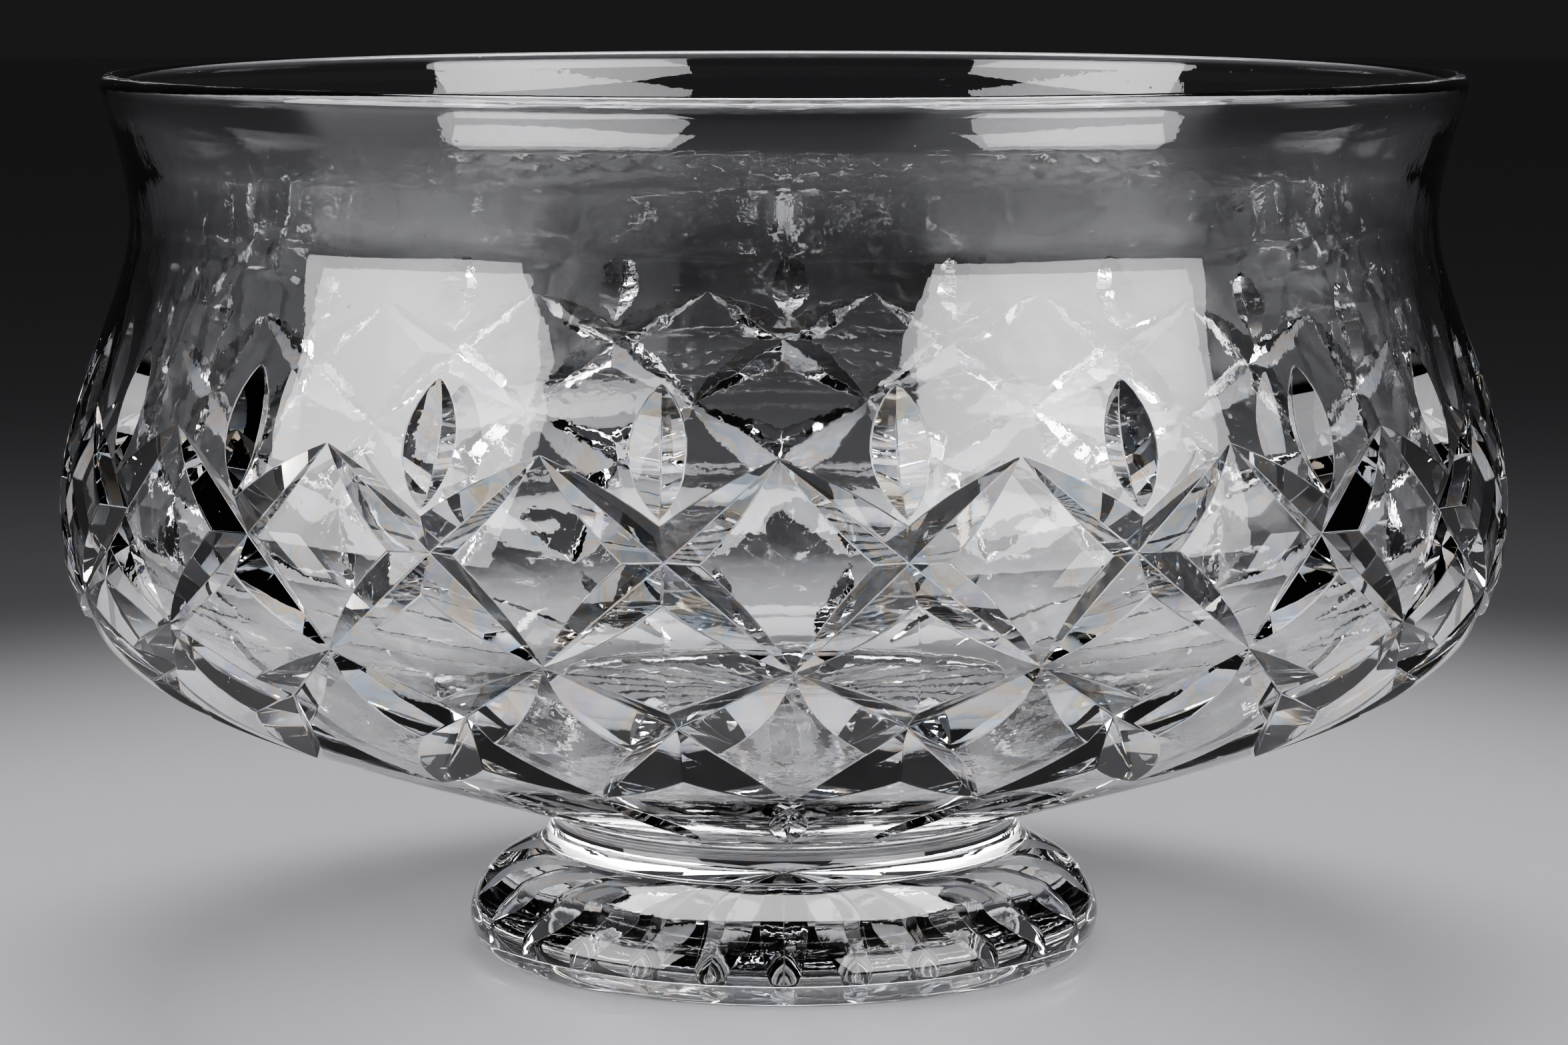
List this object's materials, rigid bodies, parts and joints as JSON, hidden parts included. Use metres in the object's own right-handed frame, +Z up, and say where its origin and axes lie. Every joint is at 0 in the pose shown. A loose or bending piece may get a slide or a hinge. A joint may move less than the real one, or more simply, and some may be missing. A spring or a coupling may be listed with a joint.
{
  "type": "punch bowl",
  "caption": "Round footed bowl in clear cut crystal: flared smooth rim, crossed V cuts round the belly with upright leaf cuts above, short waisted collar and star-cut domed foot.",
  "frame": {"origin": "centre of the flat standing ring under the foot, on the surface that the bowl stands on", "axes": "+Z up along the bowl's axis through foot, collar and bowl; -Y faces the front, with a column of the cut pattern on it"},
  "size_m": [0.2996, 0.2998, 0.1825],
  "materials": {
    "crystal": "polished clear cut crystal"
  },
  "bodies": {
    "root": {"foot": "crystal", "collar": "crystal", "bowl": "crystal"}
  },
  "joints": []
}
